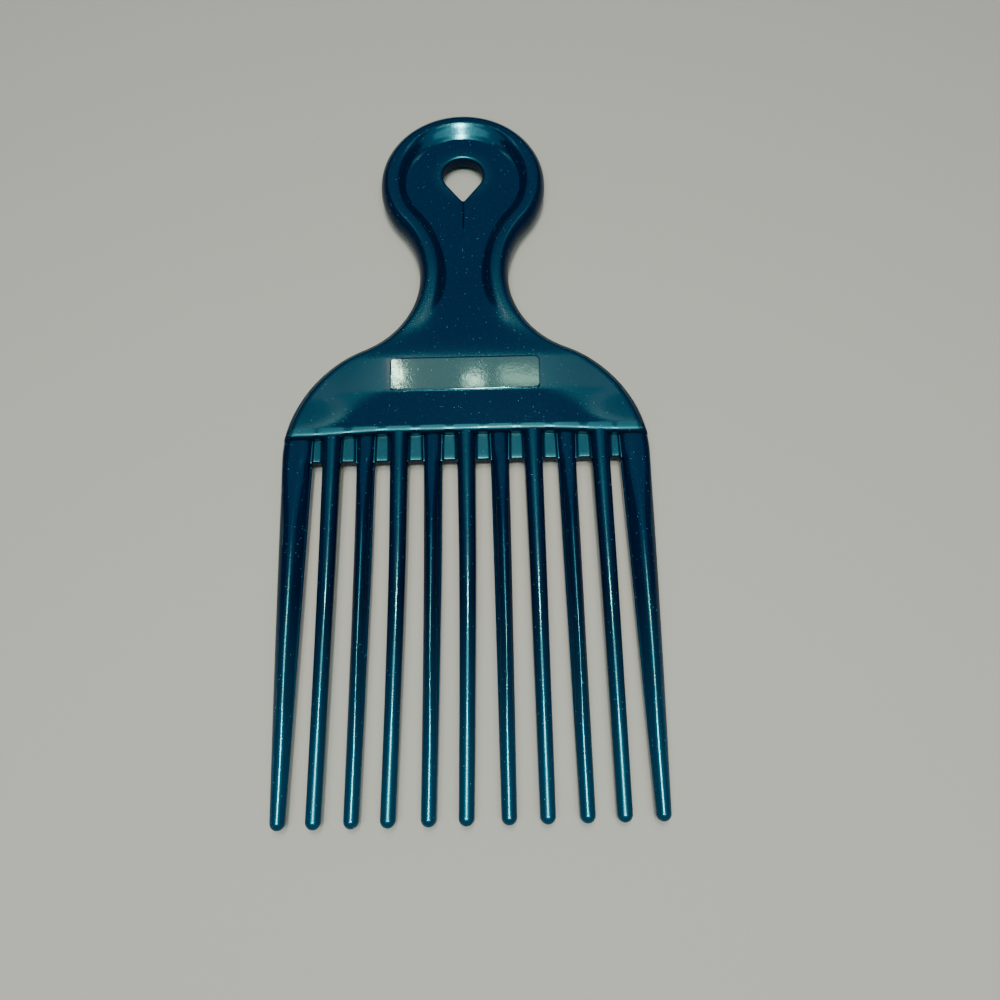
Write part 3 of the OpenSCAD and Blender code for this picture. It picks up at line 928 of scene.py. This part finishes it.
def fleck_group():
    """Pearl flecks at real size. Mask: few bright flakes and more dim ones, random by
    cell. Grain: a fine mottle. Cloud: a slow change of tone over the whole object. Knit:
    the thin line below the hole's point, where the plastic met in the mould.
    PaintedTipLight: painted light, 1 at the tooth tips, whose paler colour stands in for
    the light they catch, and 0 from mid length up."""
    group = bpy.data.node_groups.new("pearl_fleck", "ShaderNodeTree")
    for name in ("Mask", "Grain", "Cloud", "Knit", "PaintedTipLight"):
        group.interface.new_socket(name, in_out="OUTPUT", socket_type="NodeSocketFloat")
    out = group.nodes.new("NodeGroupOutput")
    where = node(group, "TexCoord").outputs["Object"]

    cells = node(group, "TexVoronoi", {"Vector": where}, Scale=FLAKE_SCALE)
    value = node(group, "SeparateColor", {"Color": cells.outputs["Color"]}).outputs[0]
    bright = math_node(group, "GREATER_THAN", value, BRIGHT_LIMIT)
    dim = math_node(group, "GREATER_THAN", value, DIM_LIMIT)
    dim = math_node(group, "MULTIPLY", dim, DIM_SHARE)
    shown = math_node(group, "MAXIMUM", bright, dim)
    near = math_node(group, "LESS_THAN", cells.outputs["Distance"], FLAKE_R)
    grain = node(group, "TexNoise", {"Vector": where}, Scale=GRAIN_SCALE, Detail=2.0)
    cloud = node(group, "TexNoise", {"Vector": where}, Scale=CLOUD_SCALE, Detail=3.0)

    parts = node(group, "SeparateXYZ", {"Vector": where}).outputs
    sway = node(group, "TexNoise", {"Vector": where}, Scale=SWAY_SCALE)
    bent = math_node(group, "MULTIPLY_ADD", sway.outputs[0], SWAY)
    bent.node.inputs[2].default_value = -SWAY / 2
    off = math_node(group, "ABSOLUTE", math_node(group, "ADD", parts[0], bent))
    thin = math_node(group, "SUBTRACT", 1.0, math_node(group, "DIVIDE", off, KNIT_W))
    thin = math_node(group, "MAXIMUM", thin, 0.0)
    high = (HOLE_Q - HOLE_POINT - COMB_L / 2) / 1000
    fade = math_node(group, "SUBTRACT", parts[1], high - KNIT_L)
    fade = math_node(group, "MULTIPLY", fade, KNIT_FADE)
    below = math_node(group, "LESS_THAN", parts[1], high)
    fade = math_node(group, "MULTIPLY", fade, below, clamp=True)
    # Painted light: the tips' mask, 1 below TIP_END_Y and fading up the teeth
    low = math_node(group, "SUBTRACT", TIP_END_Y, parts[1])

    group.links.new(math_node(group, "MULTIPLY", shown, near), out.inputs["Mask"])
    group.links.new(grain.outputs[0], out.inputs["Grain"])
    group.links.new(cloud.outputs[0], out.inputs["Cloud"])
    group.links.new(math_node(group, "MULTIPLY", thin, fade), out.inputs["Knit"])
    group.links.new(math_node(group, "MULTIPLY", low, TIP_FADE, clamp=True), out.inputs["PaintedTipLight"])
    return group


def pearl(name, fleck, rough, coat, bump, grain_share, lustre, tint, wave=0.0):
    """Pearly teal plastic: a navy body under a broad teal lustre, with a thin clear gloss
    and flecks over it. Where polish is 1 the lustre is tight, as on a polished flat. The
    wave is a slow unevenness, as on a flat that was pressed against paper."""
    material = bpy.data.materials.new(name)
    material.use_nodes = True
    tree = material.node_tree
    shader = tree.nodes["Principled BSDF"]
    group = tree.nodes.new("ShaderNodeGroup")
    group.node_tree = fleck
    tone = blend_color(tree, group.outputs["Cloud"], DEEP_BLUE, SOFT_BLUE)
    # Painted light: a paler tone at the tooth tips for the light they catch
    tone = blend_color(tree, group.outputs["PaintedTipLight"], tone, PAINTED_LIGHT_TIP_BLUE)
    lined = blend_color(tree, group.outputs["Knit"], tone, KNIT_BLUE)
    flaked = blend_color(tree, group.outputs["Mask"], lined, FLAKE_TEAL)
    tree.links.new(flaked, shader.inputs["Base Color"])

    spread = math_node(tree, "MULTIPLY", group.outputs["Grain"], grain_share)
    dull = math_node(tree, "ADD", spread, rough - grain_share / 2)
    tight = node(tree, "Attribute", attribute_name="polish").outputs["Fac"]
    taken = math_node(tree, "MULTIPLY", tight, rough - POLISHED)
    dull = math_node(tree, "SUBTRACT", dull, taken)
    dull = math_node(tree, "MAXIMUM", dull, LEAST_ROUGHNESS)
    tree.links.new(dull, shader.inputs["Roughness"])
    shader.inputs["IOR"].default_value = lustre
    shader.inputs["Specular Tint"].default_value = (*tint, 1)
    shader.inputs["Coat Weight"].default_value = coat
    shader.inputs["Coat Roughness"].default_value = COAT_ROUGHNESS

    bumped = node(tree, "Bump", {"Height": group.outputs["Grain"]}, Strength=bump,
                  Distance=GRAIN_DEPTH).outputs[0]
    crease = node(tree, "Bump", {"Height": group.outputs["Knit"], "Normal": bumped},
                  Strength=1.0, Distance=KNIT_DEPTH)
    crease.invert = True
    bumped = crease.outputs[0]
    if wave:
        where = node(tree, "TexCoord").outputs["Object"]
        slow = node(tree, "TexNoise", {"Vector": where}, Scale=WAVE_SCALE, Detail=4.0,
                    Roughness=0.6).outputs[0]
        bumped = node(tree, "Bump", {"Height": slow, "Normal": bumped}, Strength=1.0,
                      Distance=wave).outputs[0]
    tree.links.new(bumped, shader.inputs["Normal"])
    return material


# Floor, camera and light


def stage_floor():
    """A plain pale floor, well past the camera's view."""
    mesh = bpy.data.meshes.new("stage_floor")
    half = GROUND_HALF
    mesh.from_pydata([(-half, -half, 0), (half, -half, 0), (half, half, 0), (-half, half, 0)],
                     [], [(0, 1, 2, 3)])
    material = bpy.data.materials.new("pale_floor")
    material.use_nodes = True
    shader = material.node_tree.nodes["Principled BSDF"]
    shader.inputs["Base Color"].default_value = (*PALE_GROUND, 1)
    shader.inputs["Roughness"].default_value = GROUND_ROUGHNESS
    mesh.materials.append(material)
    ground = bpy.data.objects.new("stage_floor", mesh)
    bpy.context.scene.collection.objects.link(ground)


def over_floor(x, q, height):
    """Metres in the frame from x and q and a height over the floor in millimetres."""
    return (x / 1000, (q - COMB_L / 2) / 1000, height / 1000)


def aim(thing, target):
    """Turns a camera or a lamp so that it looks at a point."""
    way = Vector(target) - thing.location
    thing.rotation_euler = way.to_track_quat("-Z", "Y").to_euler()


def view():
    """The photograph's view, worked out from its perspective."""
    data = bpy.data.cameras.new("camera")
    data.lens = LENS
    data.sensor_width = SENSOR
    data.sensor_height = SENSOR
    data.clip_start = CLIP_START
    camera = bpy.data.objects.new("camera", data)
    camera.location = over_floor(*CAMERA_AT)
    bpy.context.scene.collection.objects.link(camera)
    aim(camera, over_floor(*LOOK_AT))
    bpy.context.scene.camera = camera


def lamp(name, place_at, target, size, strength, color):
    """A rectangular soft lamp, given by its sides and by its brightness per area."""
    data = bpy.data.lights.new(name, "AREA")
    data.shape = "RECTANGLE"
    data.size, data.size_y = size
    data.energy = strength * math.pi * size[0] * size[1]
    data.color = color
    made = bpy.data.objects.new(name, data)
    made.location = place_at
    bpy.context.scene.collection.objects.link(made)
    aim(made, target)


def world_light():
    """A faint even blue from all sides."""
    world = bpy.data.worlds.new("studio")
    world.use_nodes = True
    background = world.node_tree.nodes["Background"]
    background.inputs[0].default_value = (*SKY_BLUE, 1)
    background.inputs[1].default_value = WORLD_STRENGTH
    bpy.context.scene.world = world


view()
world_light()
for row in LAMPS:
    lamp(*row)
stage_floor()

fleck = fleck_group()
body = (
    pearl("pearl_plastic", fleck, rough=0.30, coat=0.3, bump=0.4, grain_share=0.10,
          lustre=2.3, tint=TEAL),
    pearl("pearl_flank", fleck, rough=0.45, coat=0.0, bump=0.25, grain_share=0.06,
          lustre=1.25, tint=TEAL),
)
pads = (
    pearl("pad_plastic", fleck, rough=0.06, coat=0.2, bump=0.06, grain_share=0.04,
          lustre=2.3, tint=PALE_TEAL, wave=0.000009),
)

rim_piece(body)
floor_piece(body)
neck_piece(body)
shoulder_piece(body)
pad_piece(1, pads)
pad_piece(-1, pads)
for number in range(1, TEETH):
    web_piece(number, body)
for number in range(1, TEETH + 1):
    tooth_piece(number, body)
